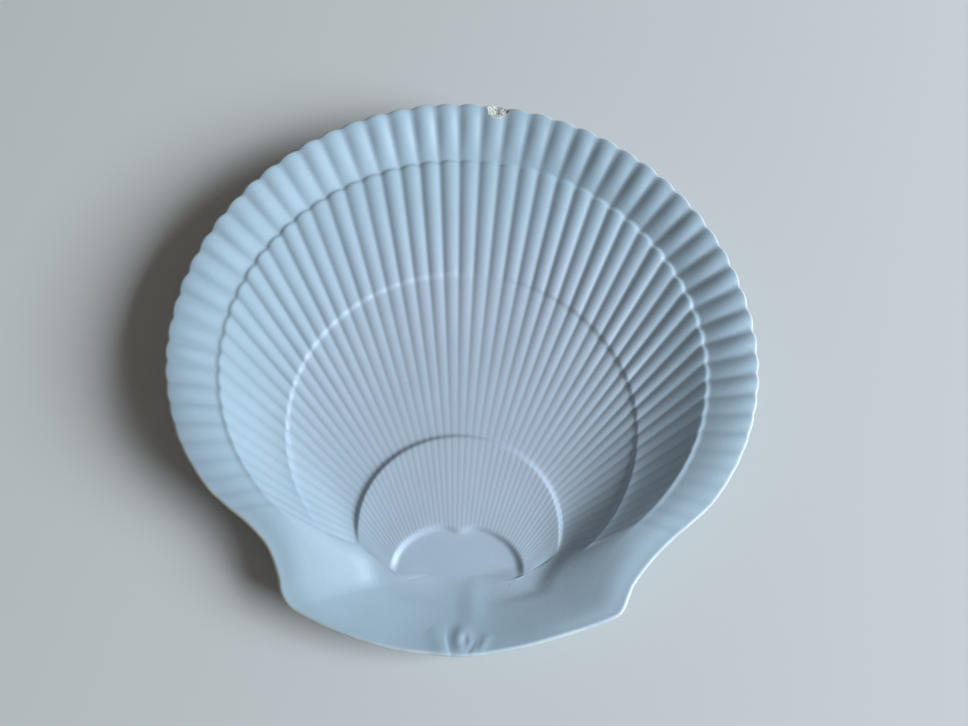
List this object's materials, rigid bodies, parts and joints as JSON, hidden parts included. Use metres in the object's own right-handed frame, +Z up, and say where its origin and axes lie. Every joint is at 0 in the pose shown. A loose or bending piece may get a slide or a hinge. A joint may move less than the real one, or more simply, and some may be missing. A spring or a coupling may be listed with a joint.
{
  "type": "shell platter",
  "caption": "Scallop shell serving platter in pale blue satin glazed pottery, with raised ribs, stepped growth lines, a smooth hinge with a leaf bud, and a chipped lip.",
  "frame": {"origin": "centre of the bounding box, on the plane the foot ring stands on", "axes": "+Z up, +Y from the hinge to the far lip, +X to the right when seen from the hinge side"},
  "size_m": [0.3006, 0.2934, 0.0374],
  "materials": {
    "glaze": "satin"
  },
  "bodies": {
    "root": {"shell_platter": "glaze"}
  },
  "joints": []
}
